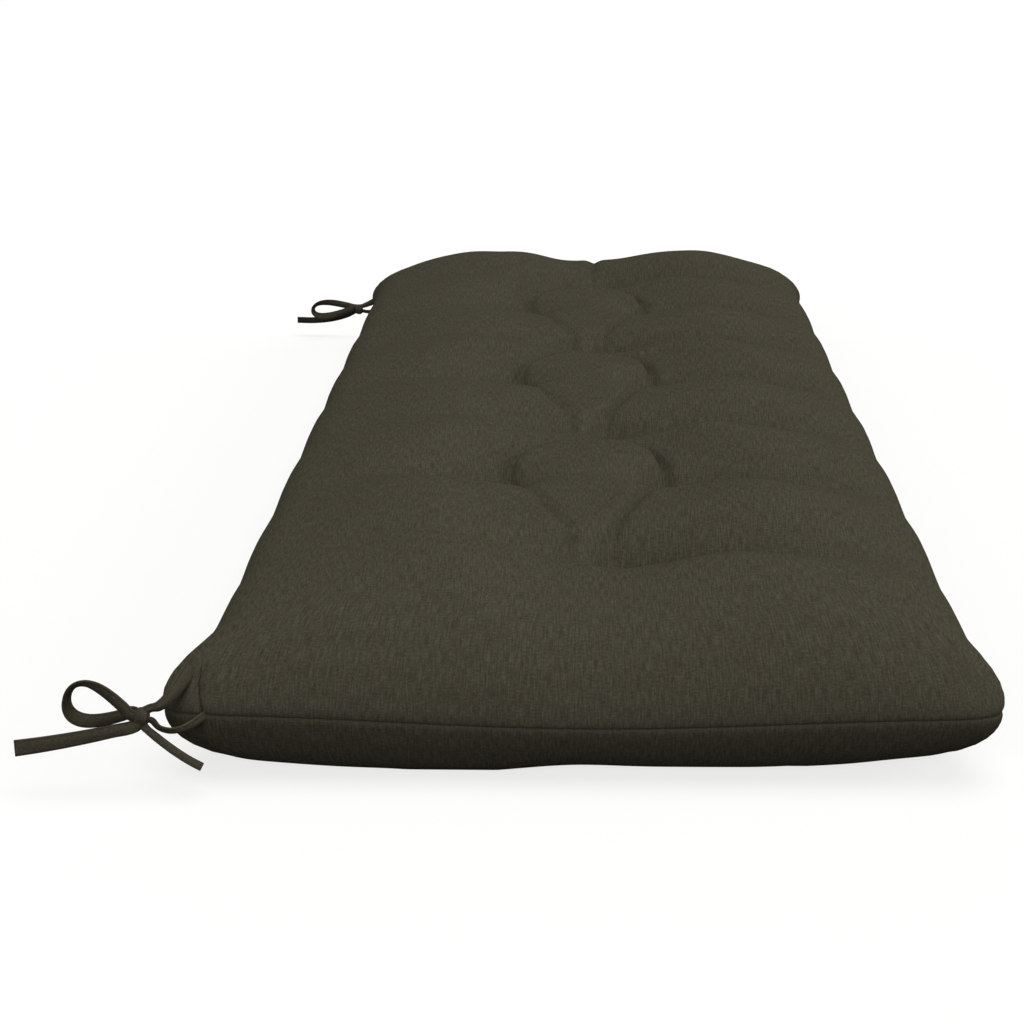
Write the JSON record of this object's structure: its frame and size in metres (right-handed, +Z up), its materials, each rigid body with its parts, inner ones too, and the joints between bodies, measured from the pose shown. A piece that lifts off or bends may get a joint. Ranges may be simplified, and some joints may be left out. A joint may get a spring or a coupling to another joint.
{
  "type": "bench cushion",
  "caption": "Long rectangular seat cushion, tufted in staggered rows, with a seamed rim, boxed corners and ribbon ties on its back corners.",
  "frame": {"origin": "on the surface that the cushion lies on, under the middle of its body, ties left out", "axes": "+Z up, +Y along the cushion's long side, away from the picture's camera, +X across it, away from the edge with the ties"},
  "size_m": [0.5938, 1.2339, 0.1277],
  "materials": {
    "cushion_cloth": "matt mottled plain weave, dark olive grey",
    "ribbon": "the same cloth, sewn into narrow flat bands"
  },
  "bodies": {
    "root": {"cushion": "cushion_cloth", "tie_near_knot": "ribbon", "tie_near_loop": "ribbon", "tie_near_leg_upper": "ribbon", "tie_near_leg_lower": "ribbon", "tie_near_long_end": "ribbon", "tie_near_short_end": "ribbon", "tie_far_knot": "ribbon", "tie_far_loop": "ribbon", "tie_far_leg_upper": "ribbon", "tie_far_leg_lower": "ribbon", "tie_far_end": "ribbon"}
  },
  "joints": []
}
